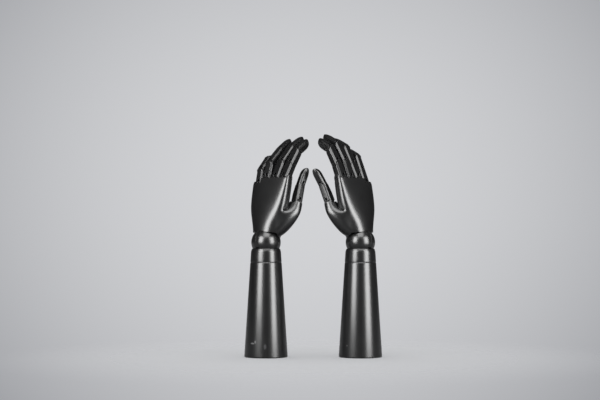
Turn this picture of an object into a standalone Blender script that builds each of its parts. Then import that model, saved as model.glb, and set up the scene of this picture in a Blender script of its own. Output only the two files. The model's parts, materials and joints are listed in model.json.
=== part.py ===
"""A pair of jointed wooden hand mannequins, a left and a right, each on a turned forearm.

Metres, +Z up. The origin is the middle of the left mannequin's foot. Seen along +Y, the backs
of both hands face the viewer and the palms turn towards each other. Every finger hinge is a
tongue on the inner piece, a slot in the outer piece and a cross pin through both. At the wrist the
palm's tongue fills a slot in the ball. The pose below is the rest pose.
"""
import math

import bmesh
import bpy
from mathutils import Matrix, Vector

# The pair and its stance
PAIR_SPACING = 0.1605
WRIST_BEND = 10.0
CLEARANCE = 0.0003

# Forearm, a turned cone with a cup in its top
FOOT_RADIUS = 0.0370
FOREARM_HEIGHT = 0.1840
FOOT_CHAMFER = 0.0014
RIM_LAND = 0.0004
RIM_CHAMFER_WIDTH = 0.0013
RIM_CHAMFER_HEIGHT = 0.0048
GROOVE_BELOW_RIM = 0.0230
GROOVE_DEPTH = 0.0007
GROOVE_HALF_WIDTH = 0.0009

# Wrist, a slotted ball that turns on its stem and a tongue that bends in the slot
BALL_RADIUS = 0.0250
BALL_ABOVE_RIM = 0.0110
STEM_RADIUS = 0.0070
STEM_LENGTH = 0.0400
WRIST_TONGUE_THICKNESS = 0.0060
WRIST_TONGUE_STEM = 0.0100
WRIST_TONGUE_DROP = 30.0
WRIST_TONGUE_SINK = 0.0002
WRIST_HUB_RADIUS = 0.0102
WRIST_SLOT_LIMITS = (-77.0, 247.0)
WRIST_PIN_RADIUS = 0.0030
WRIST_PIN_RECESS = 0.0012

# Palm, measured from the middle of the wrist ball
KNUCKLE_HEIGHT = 0.1100
LITTLE_KNUCKLE_DROP = 0.0086
PALM_SIDE_MARGIN = 0.0042
PALM_KNUCKLE_MARGIN = 0.0009
PALM_WRIST_HALF_WIDTH = 0.0230
PALM_WAIST_SHARE = 0.40
PALM_WRIST_THICKNESS = 0.0400
PALM_LOWER_THICKNESS = 0.0345
PALM_MIDDLE_THICKNESS = 0.0285
PALM_LOW_EDGE = 0.0150
PALM_HEEL_DIRECTION = 50.0
PALM_HEEL_DISTANCE = 0.0105
PALM_HEEL_SLOPE = 37.0
PALM_SMOOTHING = 2

# Fingers: width and thickness at the knuckle, three lengths between joints, sideways lean
FINGER_GAP = 0.0013
TAPER = 0.94
FINGERS = {
    "index": {"width": 0.0166, "thickness": 0.0160, "lengths": (0.0280, 0.0295, 0.0300), "lean": 4.0},
    "middle": {"width": 0.0170, "thickness": 0.0160, "lengths": (0.0320, 0.0360, 0.0340), "lean": 1.5},
    "ring": {"width": 0.0164, "thickness": 0.0160, "lengths": (0.0290, 0.0355, 0.0335), "lean": -2.0},
    "little": {"width": 0.0146, "thickness": 0.0142, "lengths": (0.0255, 0.0300, 0.0270), "lean": -5.5},
}
EDGE_CHAMFER = 0.0026

# Finger tips: shares of the curved half, and how far the back, the pad and the sides draw in
TIP_SHARES = (0.0, 0.35, 0.62, 0.82, 0.94, 0.99)
TIP_FULLNESS = 2.4
TIP_BACK_DROP = 0.28
TIP_PAD_RISE = 1.68
TIP_SIDE_DRAW = 0.85
TIP_CHAMFER_FADE = 0.70

# Thumb, whose pad faces the fingers
THUMB_BASE = (0.0415, 0.0210, 0.0740)
THUMB_LEAN = 11.0
THUMB_TURN = 75.0
THUMB_WIDTH = 0.0142
THUMB_THICKNESS = 0.0138
THUMB_LENGTHS = (0.0320, 0.0300)
THUMB_PAD_SWELL = 0.0040
MOUND_PAD_SWELL = 0.0080
PAD_SWELL_SHARE = 0.45
THUMB_NECK_BELOW_PIN = 0.0120
THUMB_NECK_SPREAD = 1.60
THUMB_HEAD_ABOVE_PIN = 0.0190
THUMB_HEAD_SPREAD = 1.32
THUMB_CUT_DEPTH_SHARE = 1.25
THUMB_CUT_WIDTH_SHARE = 0.75
MOUND_SHARES = (0.10, 0.70, 1.02)

# Hinges
LIP = 0.0010
TONGUE_THICKNESS = 0.0030
TONGUE_BELOW_BACK = 0.0005
PIN_RADIUS = 0.0014
PIN_RECESS = 0.0006
PALM_SIDE_OPENING = 36.0
BACK_OPENING = 0.0
THUMB_BACK_OPENING = 15.0
THUMB_PALM_SIDE_OPENING = 26.0
SOCKET_RELIEF = 1.02

# Rest pose, degrees of bend towards the palm at each joint
POSES = {
    "left": {
        "turn": 38.0,
        "index": (20.0, 4.0, 22.0),
        "middle": (18.0, 16.0, 16.0),
        "ring": (8.0, 32.0, 8.0),
        "little": (7.0, 30.0, 36.0),
        "thumb": (4.0, -14.0),
    },
    "right": {
        "turn": 41.0,
        "index": (12.0, 8.0, 30.0),
        "middle": (11.0, 12.0, 32.0),
        "ring": (20.0, 2.0, 34.0),
        "little": (18.0, 1.0, 36.0),
        "thumb": (-11.0, -15.0),
    },
}

# Facets
TURNED_SIDES = 24
PIN_SIDES = 8
BARREL_STEPS = 6
BALL_STEPS = 10
SHARP_ANGLE = 35.0

PIN_HOLE_RADIUS = (PIN_RADIUS + CLEARANCE) / math.cos(math.pi / PIN_SIDES)
WRIST_HOLE_RADIUS = (WRIST_PIN_RADIUS + CLEARANCE) / math.cos(math.pi / PIN_SIDES)
BALL_HEIGHT = FOREARM_HEIGHT + BALL_ABOVE_RIM
ROUND_SLACK = math.cos(math.pi / TURNED_SIDES) * math.cos(math.pi / 2 / BALL_STEPS)
CUP_RADIUS = (BALL_RADIUS + CLEARANCE) / ROUND_SLACK
FOREARM_TOP_RADIUS = math.sqrt(CUP_RADIUS**2 - BALL_ABOVE_RIM**2) + RIM_LAND + RIM_CHAMFER_WIDTH
FAR = 4 * BALL_RADIUS


def clear_scene():
    for obj in list(bpy.data.objects):
        bpy.data.objects.remove(obj)


def make_material(name, colour, roughness, metallic):
    material = bpy.data.materials.new(name)
    material.use_nodes = True
    shader = material.node_tree.nodes["Principled BSDF"]
    shader.inputs["Base Color"].default_value = (*colour, 1.0)
    shader.inputs["Roughness"].default_value = roughness
    shader.inputs["Metallic"].default_value = metallic
    return material


def mesh_object(name, points, faces):
    mesh = bpy.data.meshes.new(name)
    mesh.from_pydata(points, [], faces)
    shell = bmesh.new()
    shell.from_mesh(mesh)
    bmesh.ops.recalc_face_normals(shell, faces=shell.faces)
    shell.to_mesh(mesh)
    shell.free()
    obj = bpy.data.objects.new(name, mesh)
    bpy.context.scene.collection.objects.link(obj)
    return obj


def loft(name, rings):
    """A closed skin over rings that have the same number of points, with flat ends."""
    count = len(rings[0])
    points = [tuple(point) for ring in rings for point in ring]
    faces = [tuple(range(count)), tuple(range(len(points) - count, len(points)))]
    for ring in range(len(rings) - 1):
        for side in range(count):
            after = (side + 1) % count
            low = ring * count
            faces.append((low + side, low + after, low + count + after, low + count + side))
    return mesh_object(name, points, faces)


def turned(name, profile, sides):
    """A lathe of (radius, height) points that starts and ends on the axis."""
    points = [(0.0, 0.0, profile[0][1])]
    faces = []
    for radius, height in profile[1:-1]:
        for side in range(sides):
            turn = math.tau * side / sides
            points.append((radius * math.cos(turn), radius * math.sin(turn), height))
    points.append((0.0, 0.0, profile[-1][1]))
    last = len(points) - 1
    for side in range(sides):
        after = (side + 1) % sides
        faces.append((0, 1 + side, 1 + after))
        faces.append((last, last - sides + side, last - sides + after))
        for ring in range(len(profile) - 3):
            low = 1 + ring * sides
            faces.append((low + side, low + after, low + sides + after, low + sides + side))
    return mesh_object(name, points, faces)


def prism(name, outline, low, high):
    """An outline of (y, z) points drawn out along X from low to high."""
    return loft(name, [[(x, y, z) for y, z in outline] for x in (low, high)])


def block(name, low, high):
    corners = [(low[1], low[2]), (high[1], low[2]), (high[1], high[2]), (low[1], high[2])]
    return prism(name, corners, low[0], high[0])


def rod(name, radius, low, high):
    """A straight pin along X."""
    return prism(name, arc(0.0, radius, 0.0, 360.0 - 360.0 / PIN_SIDES, PIN_SIDES - 1), low, high)


def arc(height, radius, start, stop, steps, around=False):
    """Points on a circle in the side view; around gives a polygon that stays outside the circle."""
    if around:
        radius /= math.cos(math.radians(stop - start) / steps / 2)
    turns = [math.radians(start + (stop - start) * step / steps) for step in range(steps + 1)]
    return [(radius * math.cos(turn), height + radius * math.sin(turn)) for turn in turns]


def apply_modifiers(obj):
    bpy.context.view_layer.update()
    graph = bpy.context.evaluated_depsgraph_get()
    result = bpy.data.meshes.new_from_object(obj.evaluated_get(graph))
    obj.modifiers.clear()
    obj.data = result


def carve(target, cutter, operation="DIFFERENCE", folded=False):
    """Apply a Boolean and drop the cutter; folded merges a skin that runs through itself."""
    modifier = target.modifiers.new(operation.lower(), "BOOLEAN")
    modifier.operation = operation
    modifier.solver = "EXACT"
    modifier.use_self = folded
    modifier.object = cutter
    apply_modifiers(target)
    bpy.data.objects.remove(cutter)


def place(obj, matrix):
    obj.data.transform(matrix)
    return obj


def barrel_radius(half_thickness):
    return half_thickness - LIP - CLEARANCE


def cradle_outline(radius, palm_side, back, reach):
    """Side view of all that a hinge leaves of the inner piece, whose far pin is at (0, 0)."""
    hollow = arc(0.0, radius + CLEARANCE, 180.0 + back, 360.0 - palm_side, BARREL_STEPS, around=True)
    back_edge = (-reach, -reach * math.tan(math.radians(back)) - CLEARANCE / 2)
    back_foot = (-(radius + CLEARANCE) * SOCKET_RELIEF, hollow[0][1] - CLEARANCE / 2)
    palm_edge = (reach, -reach * math.tan(math.radians(palm_side)))
    return [back_edge, back_foot] + hollow[1:] + [palm_edge, (reach, -FAR), (-reach, -FAR)]


def knuckle_outline(radius, palm_side, back, reach):
    """Side view of what a hinge cuts away below the outer piece, whose pin is at (0, 0)."""
    round_end = arc(0.0, radius, 180.0 - back, 360.0 + palm_side, BARREL_STEPS)
    back_edge = (-reach, reach * math.tan(math.radians(back)) + CLEARANCE / 2)
    back_foot = (-radius, round_end[0][1] + CLEARANCE / 2)
    palm_edge = (reach, reach * math.tan(math.radians(palm_side)))
    return [back_edge, back_foot] + round_end[1:] + [palm_edge, (reach, -FAR), (-reach, -FAR)]


def barrel_outline(radius, palm_side, back, reach):
    """Side view of what is cut away above a round end on the inner piece, whose pin is at (0, 0)."""
    return [(y, -z) for y, z in knuckle_outline(radius, palm_side, back, reach)]


def trough(name, radius, low, high):
    """A round cutter along X that the outer piece's round end turns in."""
    outline = arc(0.0, radius + CLEARANCE, 0.0, 360.0, 2 * BARREL_STEPS, around=True)
    return prism(name, outline[:-1], low, high)


def tongue(name, half, radius):
    """A round-ended tab that stands up from the inner piece into the outer one's slot."""
    tab = half - TONGUE_BELOW_BACK
    root = -radius - 2 * LIP
    outline = arc(0.0, tab, 0.0, 180.0, BARREL_STEPS) + [(-tab, root), (tab, root)]
    return prism(name, outline, -TONGUE_THICKNESS / 2, TONGUE_THICKNESS / 2)


def slot(name, half, reach):
    """The cutter in the outer piece that clears the tongue."""
    wide = TONGUE_THICKNESS / 2 + CLEARANCE
    return block(name, (-wide, -reach, -FAR), (wide, reach, half - TONGUE_BELOW_BACK + CLEARANCE))


def octagon(half_width, back, front, chamfer, height):
    chamfer = min(chamfer, half_width / 2, (front - back) / 4)
    return [
        (half_width, back + chamfer, height),
        (half_width, front - chamfer, height),
        (half_width - chamfer, front, height),
        (chamfer - half_width, front, height),
        (-half_width, front - chamfer, height),
        (-half_width, back + chamfer, height),
        (chamfer - half_width, back, height),
        (half_width - chamfer, back, height),
    ]


def straight_bar(name, width, half, length, swell):
    """A tapering bar with chamfered edges that runs past both pins; swell fills out its pad."""
    levels = [(-half / length, swell), (1.0 + half / length, 0.0)]
    if swell:
        levels.insert(1, (PAD_SWELL_SHARE, swell))
    rings = []
    for share, fill in levels:
        size = 1.0 + (TAPER - 1.0) * share
        front = half * size + fill
        rings.append(octagon(width / 2 * size, -half * size, front, EDGE_CHAMFER, length * share))
    return loft(name, rings)


def tip_bar(name, width, half, length):
    """A bar with a straight back and a pad that curves up to a round tip."""
    rings = [octagon(width / 2, -half, half, EDGE_CHAMFER, -half)]
    for share in TIP_SHARES:
        drawn = 1.0 - math.sqrt(1.0 - share**TIP_FULLNESS)
        along = 0.5 + 0.5 * share
        back = -half * (1.0 - TIP_BACK_DROP * drawn)
        front = half * (1.0 - TIP_PAD_RISE * drawn)
        side = width / 2 * TAPER**along * (1.0 - TIP_SIDE_DRAW * drawn)
        chamfer = EDGE_CHAMFER * (1.0 - TIP_CHAMFER_FADE * drawn)
        rings.append(octagon(side, back, front, chamfer, length * along))
    return loft(name, rings)


def segment(name, width, half, length, openings, lean=0.0, is_tip=False, swell=0.0):
    """One finger piece, with its own pin at its origin and the next pin at its far end."""
    palm_side, back = openings
    reach = 2 * half
    if is_tip:
        piece = tip_bar(name, width, half, length)
    else:
        piece = straight_bar(name, width, half, length, swell)
    if not is_tip:
        next_half = half * TAPER
        next_radius = barrel_radius(next_half)
        far_end = Matrix.Translation((0.0, 0.0, length))
        cradle = prism("cradle", cradle_outline(next_radius, palm_side, back, reach), -FAR, FAR)
        carve(piece, place(cradle, far_end), "INTERSECT")
        carve(piece, place(tongue("tongue", next_half, next_radius), far_end), "UNION")
        carve(piece, place(rod("hole", PIN_HOLE_RADIUS, -FAR, FAR), far_end))
    place(piece, Matrix.Rotation(math.radians(lean), 4, "Y"))
    base_opening = 0.0 if swell else palm_side
    outline = knuckle_outline(barrel_radius(half), base_opening, back, reach)
    carve(piece, prism("round", outline, -FAR, FAR))
    carve(piece, slot("slot", half, reach))
    carve(piece, rod("hole", PIN_HOLE_RADIUS, -FAR, FAR))
    return piece


def pin(name, width):
    half = width / 2 - PIN_RECESS
    return rod(name, PIN_RADIUS, -half, half)


def make_forearm(name):
    def cone(height):
        return FOOT_RADIUS + (FOREARM_TOP_RADIUS - FOOT_RADIUS) * height / FOREARM_HEIGHT

    groove = FOREARM_HEIGHT - GROOVE_BELOW_RIM
    shoulder = FOREARM_HEIGHT - RIM_CHAMFER_HEIGHT
    bore = (STEM_RADIUS + CLEARANCE) / math.cos(math.pi / TURNED_SIDES)
    rim = math.asin(-BALL_ABOVE_RIM / CUP_RADIUS)
    mouth = -math.acos(bore / CUP_RADIUS)
    floor = BALL_HEIGHT - BALL_RADIUS - STEM_LENGTH - CLEARANCE
    profile = [
        (0.0, 0.0),
        (FOOT_RADIUS - FOOT_CHAMFER, 0.0),
        (cone(FOOT_CHAMFER), FOOT_CHAMFER),
        (cone(groove - GROOVE_HALF_WIDTH), groove - GROOVE_HALF_WIDTH),
        (cone(groove) - GROOVE_DEPTH, groove),
        (cone(groove + GROOVE_HALF_WIDTH), groove + GROOVE_HALF_WIDTH),
        (cone(shoulder), shoulder),
        (FOREARM_TOP_RADIUS - RIM_CHAMFER_WIDTH, FOREARM_HEIGHT),
    ]
    steps = BALL_STEPS // 2
    for step in range(steps + 1):
        angle = rim + (mouth - rim) * step / steps
        profile.append((CUP_RADIUS * math.cos(angle), BALL_HEIGHT + CUP_RADIUS * math.sin(angle)))
    profile += [(bore, floor), (0.0, floor)]
    return turned(name, profile, TURNED_SIDES)


def make_ball(name):
    low = -math.acos(STEM_RADIUS / BALL_RADIUS)
    profile = [(0.0, BALL_RADIUS)]
    for step in range(1, BALL_STEPS + 1):
        angle = math.pi / 2 + (low - math.pi / 2) * step / BALL_STEPS
        profile.append((BALL_RADIUS * math.cos(angle), BALL_RADIUS * math.sin(angle)))
    foot = -BALL_RADIUS - STEM_LENGTH
    profile += [(STEM_RADIUS, foot), (0.0, foot)]
    ball = turned(name, profile, TURNED_SIDES)
    start, stop = WRIST_SLOT_LIMITS
    outline = arc(0.0, WRIST_HUB_RADIUS + CLEARANCE, stop, start + 360.0, BARREL_STEPS, around=True)
    outline += arc(0.0, 2 * BALL_RADIUS, start, stop, BALL_STEPS)
    half = WRIST_TONGUE_THICKNESS / 2 + CLEARANCE
    carve(ball, prism("slot", outline, -half, half))
    carve(ball, rod("hole", WRIST_HOLE_RADIUS, -FAR, FAR))
    return ball


def finger_places():
    """Each finger's middle along X, from the index to the little finger."""
    total = sum(finger["width"] for finger in FINGERS.values()) + FINGER_GAP * (len(FINGERS) - 1)
    edge = total / 2
    places = {}
    for name, finger in FINGERS.items():
        places[name] = edge - finger["width"] / 2
        edge -= finger["width"] + FINGER_GAP
    return places


def palm_half_width():
    places = finger_places()
    return places["index"] + FINGERS["index"]["width"] / 2 + PALM_SIDE_MARGIN


def knuckle_frame(name):
    """The frame of a finger's knuckle pin; the little finger's is lower and leans outwards."""
    place_x = finger_places()[name]
    if name != "little":
        return Matrix.Translation((place_x, 0.0, KNUCKLE_HEIGHT))
    lean = Matrix.Rotation(math.radians(FINGERS[name]["lean"]), 4, "Y")
    return Matrix.Translation((place_x, 0.0, KNUCKLE_HEIGHT - LITTLE_KNUCKLE_DROP)) @ lean


def thumb_frame():
    lean = Matrix.Rotation(math.radians(-THUMB_LEAN), 4, "X")
    turn = Matrix.Rotation(math.radians(THUMB_TURN), 4, "Z")
    return Matrix.Translation(THUMB_BASE) @ lean @ turn


def palm_ring(height, little_side, thumb_side, thickness, squareness):
    """Eight cage points round one level; squareness is how far the flats reach to the corners."""
    half = thickness / 2
    corner = squareness * half
    return [
        Vector((thumb_side, -corner, height)),
        Vector((thumb_side, corner, height)),
        Vector((squareness * thumb_side, half, height)),
        Vector((-squareness * little_side, half, height)),
        Vector((-little_side, corner, height)),
        Vector((-little_side, -corner, height)),
        Vector((-squareness * little_side, -half, height)),
        Vector((squareness * thumb_side, -half, height)),
    ]


def palm_rings():
    """The cage's levels from below the low edge to above the knuckles."""
    wide = palm_half_width()
    wrist = PALM_WRIST_HALF_WIDTH
    waist = wrist + (wide - wrist) * PALM_WAIST_SHARE
    deep = PALM_MIDDLE_THICKNESS
    top = FINGERS["index"]["thickness"] + 2 * PALM_KNUCKLE_MARGIN
    # height share, reach on the little-finger side and the thumb side, thickness, squareness
    levels = (
        (-0.10, wrist, wrist, PALM_WRIST_THICKNESS, 0.52),
        (0.09, wrist, wrist, PALM_WRIST_THICKNESS, 0.52),
        (0.28, waist, wrist, (PALM_WRIST_THICKNESS + PALM_LOWER_THICKNESS) / 2, 0.54),
        (0.48, wide * 0.98, wide * 0.92, PALM_LOWER_THICKNESS, 0.58),
        (0.68, wide * 1.02, wide * 0.98, deep, 0.66),
        (0.88, wide, wide, (deep + top) / 2, 0.76),
        (1.02, wide, wide, top, 0.84),
        (1.20, wide, wide, top, 0.84),
    )
    return [palm_ring(share * KNUCKLE_HEIGHT, *sizes) for share, *sizes in levels]


def thumb_section(along, spread):
    """Four cage points round the thumb's stump: palm's back and front, then outer front and back."""
    half_width = spread * THUMB_WIDTH / 2
    half_thick = spread * THUMB_THICKNESS / 2
    pad = half_thick + MOUND_PAD_SWELL
    corners = ((-half_width, pad), (half_width, pad), (half_width, -half_thick), (-half_width, -half_thick))
    return [thumb_frame() @ Vector((x, y, along)) for x, y in corners]


def palm_cage(name):
    """A coarse cage of rings, with the thumb's mound drawn out of its thumb side."""
    rings = palm_rings()
    cage = loft(name, rings)
    shell = bmesh.new()
    shell.from_mesh(cage.data)
    corners = list(shell.verts)
    neck = thumb_section(-THUMB_NECK_BELOW_PIN, THUMB_NECK_SPREAD)
    head = thumb_section(THUMB_HEAD_ABOVE_PIN, THUMB_HEAD_SPREAD)
    levels = []
    for ring, share in enumerate(MOUND_SHARES, start=1):
        first = ring * len(rings[0])
        side = corners[first : first + 2]
        outer = []
        for start, goal in zip(rings[1][1::-1], neck[2:]):
            point = start.lerp(goal, share)
            point.z = side[0].co.z
            outer.append(shell.verts.new(point))
        levels.append(side + outer)
    low, middle, high = levels
    inside = [(low[0], low[1], middle[1], middle[0]), (middle[0], middle[1], high[1], high[0])]
    bmesh.ops.delete(shell, geom=[shell.faces.get(face) for face in inside], context="FACES_ONLY")
    levels += [[shell.verts.new(point) for point in section] for section in (neck, head)]
    for step, (below, above) in enumerate(zip(levels, levels[1:])):
        first_side = 1 if step < len(inside) else 0
        for start in range(first_side, 4):
            after = (start + 1) % 4
            shell.faces.new((below[start], below[after], above[after], above[start]))
    shell.faces.new(levels[0])
    shell.faces.new(levels[-1])
    bmesh.ops.recalc_face_normals(shell, faces=shell.faces)
    shell.to_mesh(cage.data)
    shell.free()
    return cage


def wrist_tongue_outline():
    """Side view of the palm's tongue: a stem, a disc flush with the ball, and a hub at the pin."""
    rim = math.sqrt(BALL_RADIUS**2 - (WRIST_TONGUE_THICKNESS / 2) ** 2) - WRIST_TONGUE_SINK
    top = BALL_RADIUS + PALM_LOW_EDGE
    neck = math.degrees(math.acos(WRIST_TONGUE_STEM / rim))
    drop = WRIST_TONGUE_DROP
    outline = [(-WRIST_TONGUE_STEM, top), (WRIST_TONGUE_STEM, top)]
    outline += arc(0.0, rim, neck, -drop, BALL_STEPS)
    outline += arc(0.0, WRIST_HUB_RADIUS, -drop, drop - 180.0, BARREL_STEPS)
    outline += arc(0.0, rim, 180.0 + drop, 180.0 - neck, BALL_STEPS)
    return outline


def make_palm(name):
    palm = palm_cage(name)
    smooth = palm.modifiers.new("smooth", "SUBSURF")
    smooth.levels = PALM_SMOOTHING
    smooth.render_levels = PALM_SMOOTHING
    palm.modifiers.new("triangles", "TRIANGULATE")
    apply_modifiers(palm)

    # The low edge is level at the back and drops at the heel below the thumb
    heel_drop = (FAR - PALM_HEEL_DISTANCE) * math.tan(math.radians(PALM_HEEL_SLOPE))
    low_edge = [(-FAR, -FAR), (FAR, -FAR), (FAR, PALM_LOW_EDGE - heel_drop)]
    low_edge += [(PALM_HEEL_DISTANCE, PALM_LOW_EDGE), (-FAR, PALM_LOW_EDGE)]
    heel_turn = Matrix.Rotation(math.radians(PALM_HEEL_DIRECTION - 90.0), 4, "Z")
    carve(palm, place(prism("low_edge", low_edge, -FAR, FAR), heel_turn), folded=True)
    hollow_profile = arc(0.0, CUP_RADIUS, 90.0, -90.0, BALL_STEPS)
    carve(palm, turned("hollow", hollow_profile, TURNED_SIDES))

    places = finger_places()
    split = places["ring"] - FINGERS["ring"]["width"] / 2 - FINGER_GAP / 2
    reach = PALM_MIDDLE_THICKNESS
    for finger in ("index", "little"):
        frame = knuckle_frame(finger)
        half_width = FINGERS[finger]["width"] / 2
        radius = barrel_radius(FINGERS[finger]["thickness"] / 2)
        outline = barrel_outline(radius, PALM_SIDE_OPENING, BACK_OPENING, reach)
        cutter = place(prism("knuckles", outline, -FAR, FAR), frame)
        sides = ((split, -FAR, -FAR), (FAR, FAR, 2 * FAR))
        side_room = FINGER_GAP / 2 + radius * math.tan(math.radians(abs(FINGERS[finger]["lean"])))
        low, high = split - places[finger], half_width + side_room
        if finger == "little":
            sides = ((-FAR, -FAR, -FAR), (split, FAR, 2 * FAR))
            low, high = -half_width - FINGER_GAP / 2, half_width + FINGER_GAP / 2
        carve(cutter, block("side", *sides), "INTERSECT")
        carve(palm, cutter)
        carve(palm, place(trough("trough", radius, low, high), frame))
    for finger, sizes in FINGERS.items():
        half = sizes["thickness"] / 2
        carve(palm, place(tongue("tongue", half, barrel_radius(half)), knuckle_frame(finger)), "UNION")

    thumb = thumb_frame()
    half = THUMB_THICKNESS / 2
    radius = barrel_radius(half)
    thumb_reach = THUMB_CUT_DEPTH_SHARE * THUMB_THICKNESS
    outline = barrel_outline(radius, THUMB_PALM_SIDE_OPENING, THUMB_BACK_OPENING, thumb_reach)
    half_cut = THUMB_CUT_WIDTH_SHARE * THUMB_WIDTH
    carve(palm, place(prism("thumb_end", outline, -half_cut, half_cut), thumb))
    carve(palm, place(trough("trough", radius, -half_cut, half_cut), thumb))
    carve(palm, place(tongue("tongue", half, radius), thumb), "UNION")
    carve(palm, place(rod("hole", PIN_HOLE_RADIUS, -THUMB_WIDTH, THUMB_WIDTH), thumb))

    half = WRIST_TONGUE_THICKNESS / 2
    carve(palm, prism("tongue", wrist_tongue_outline(), -half, half), "UNION")
    carve(palm, rod("hole", WRIST_HOLE_RADIUS, -BALL_RADIUS, BALL_RADIUS))
    long_bore = rod("bore", PIN_HOLE_RADIUS, knuckle_rod_span()[0] - CLEARANCE, FAR)
    carve(palm, place(long_bore, Matrix.Translation((0.0, 0.0, KNUCKLE_HEIGHT))))
    short_bore = rod("bore", PIN_HOLE_RADIUS, -FAR, little_rod_span()[1] + CLEARANCE)
    carve(palm, place(short_bore, knuckle_frame("little")))
    return palm


def knuckle_rod_span():
    """Ends along X of the rod that the index, middle and ring fingers share."""
    places = finger_places()
    low = places["ring"] - FINGERS["ring"]["width"] / 2 + PIN_RECESS
    high = palm_half_width() - PALM_SIDE_MARGIN / 2
    return low, high


def little_rod_span():
    """Ends of the little finger's rod along its own X, from the palm's cheek inwards."""
    half_width = FINGERS["little"]["width"] / 2
    return -half_width - PALM_SIDE_MARGIN / 2, half_width - PIN_RECESS


def bend(degrees):
    return Matrix.Rotation(math.radians(-degrees), 4, "X")


def mirrored(mesh):
    copy = mesh.copy()
    copy.transform(Matrix.Scale(-1.0, 4, (1.0, 0.0, 0.0)))
    copy.flip_normals()
    return copy


def hand_pieces():
    """The meshes of one left mannequin by name, with the material of each."""
    pieces = {
        "forearm": (make_forearm("forearm"), "lacquer"),
        "wrist_ball": (make_ball("wrist_ball"), "lacquer"),
        "palm": (make_palm("palm"), "lacquer"),
    }
    half = BALL_RADIUS - WRIST_PIN_RECESS
    pieces["wrist_pin"] = (rod("wrist_pin", WRIST_PIN_RADIUS, -half, half), "steel")
    pieces["knuckle_rod"] = (rod("knuckle_rod", PIN_RADIUS, *knuckle_rod_span()), "steel")
    pieces["little_knuckle_rod"] = (rod("little_rod", PIN_RADIUS, *little_rod_span()), "steel")
    openings = (PALM_SIDE_OPENING, BACK_OPENING)
    for name, finger in FINGERS.items():
        half = finger["thickness"] / 2
        width = finger["width"]
        lean = 0.0 if name == "little" else finger["lean"]
        lower, mid, tip = finger["lengths"]
        pieces[f"{name}_lower"] = (segment("lower", width, half, lower, openings, lean), "lacquer")
        for part, length, step in (("mid", mid, 1), ("tip", tip, 2)):
            size = TAPER**step
            piece = segment(part, width * size, half * size, length, openings, is_tip=part == "tip")
            pieces[f"{name}_{part}"] = (piece, "lacquer")
            pieces[f"{name}_{part}_pin"] = (pin("pin", width * size), "steel")
    openings = (THUMB_PALM_SIDE_OPENING, THUMB_BACK_OPENING)
    half = THUMB_THICKNESS / 2
    lower, tip = THUMB_LENGTHS
    piece = segment("lower", THUMB_WIDTH, half, lower, openings, swell=THUMB_PAD_SWELL)
    pieces["thumb_lower"] = (piece, "lacquer")
    pieces["thumb_lower_pin"] = (pin("pin", THUMB_WIDTH), "steel")
    width = THUMB_WIDTH * TAPER
    pieces["thumb_tip"] = (segment("tip", width, half * TAPER, tip, openings, is_tip=True), "lacquer")
    pieces["thumb_tip_pin"] = (pin("pin", width), "steel")
    return pieces


def hand_tree(pose):
    """Each piece's parent and its place in that parent's frame, for a left mannequin."""
    yaw = Matrix.Rotation(math.radians(-pose["turn"]), 4, "Z")
    tree = {
        "forearm": (None, Matrix.Identity(4)),
        "wrist_ball": ("forearm", Matrix.Translation((0.0, 0.0, BALL_HEIGHT)) @ yaw),
        "wrist_pin": ("wrist_ball", Matrix.Identity(4)),
        "palm": ("wrist_ball", bend(WRIST_BEND)),
        "knuckle_rod": ("palm", Matrix.Translation((0.0, 0.0, KNUCKLE_HEIGHT))),
        "little_knuckle_rod": ("palm", knuckle_frame("little")),
    }
    for name, finger in FINGERS.items():
        knuckle, second, third = pose[name]
        lower, mid, _ = finger["lengths"]
        lean = 0.0 if name == "little" else finger["lean"]
        along = Matrix.Rotation(math.radians(lean), 4, "Y") @ Matrix.Translation((0.0, 0.0, lower))
        tree[f"{name}_lower"] = ("palm", knuckle_frame(name) @ bend(knuckle))
        tree[f"{name}_mid"] = (f"{name}_lower", along @ bend(second))
        tree[f"{name}_mid_pin"] = (f"{name}_mid", Matrix.Identity(4))
        tree[f"{name}_tip"] = (f"{name}_mid", Matrix.Translation((0.0, 0.0, mid)) @ bend(third))
        tree[f"{name}_tip_pin"] = (f"{name}_tip", Matrix.Identity(4))
    first, second = pose["thumb"]
    along = Matrix.Translation((0.0, 0.0, THUMB_LENGTHS[0]))
    tree["thumb_lower"] = ("palm", thumb_frame() @ bend(first))
    tree["thumb_lower_pin"] = ("thumb_lower", Matrix.Identity(4))
    tree["thumb_tip"] = ("thumb_lower", along @ bend(second))
    tree["thumb_tip_pin"] = ("thumb_tip", Matrix.Identity(4))
    return tree


def stand_hand(side, pieces, materials):
    """Place one mannequin; the right one is the left one's mirror image with its own pose."""
    flip = Matrix.Identity(4)
    foot = Matrix.Identity(4)
    if side == "right":
        flip = Matrix.Scale(-1.0, 4, (1.0, 0.0, 0.0))
        foot = Matrix.Translation((PAIR_SPACING, 0.0, 0.0))
    objects = {}
    for name, (parent, matrix) in hand_tree(POSES[side]).items():
        source, finish = pieces[name]
        mesh = mirrored(source.data) if side == "right" else source.data.copy()
        mesh.name = f"{side}_{name}"
        mesh.materials.clear()
        mesh.materials.append(materials[finish])
        mesh.shade_smooth()
        mesh.set_sharp_from_angle(angle=math.radians(SHARP_ANGLE))
        obj = bpy.data.objects.new(f"{side}_{name}", mesh)
        bpy.context.scene.collection.objects.link(obj)
        local = flip @ matrix @ flip
        if parent:
            obj.parent = objects[parent]
        else:
            local = foot @ local
        obj.matrix_local = local
        objects[name] = obj
    return objects


def main():
    clear_scene()
    materials = {
        "lacquer": make_material("black_lacquered_wood", (0.018, 0.018, 0.019), 0.32, 0.0),
        "steel": make_material("pin_steel", (0.42, 0.42, 0.43), 0.35, 1.0),
    }
    pieces = hand_pieces()
    for side in POSES:
        stand_hand(side, pieces, materials)
    for source, _ in pieces.values():
        bpy.data.objects.remove(source)
    bpy.context.view_layer.update()


main()
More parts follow.
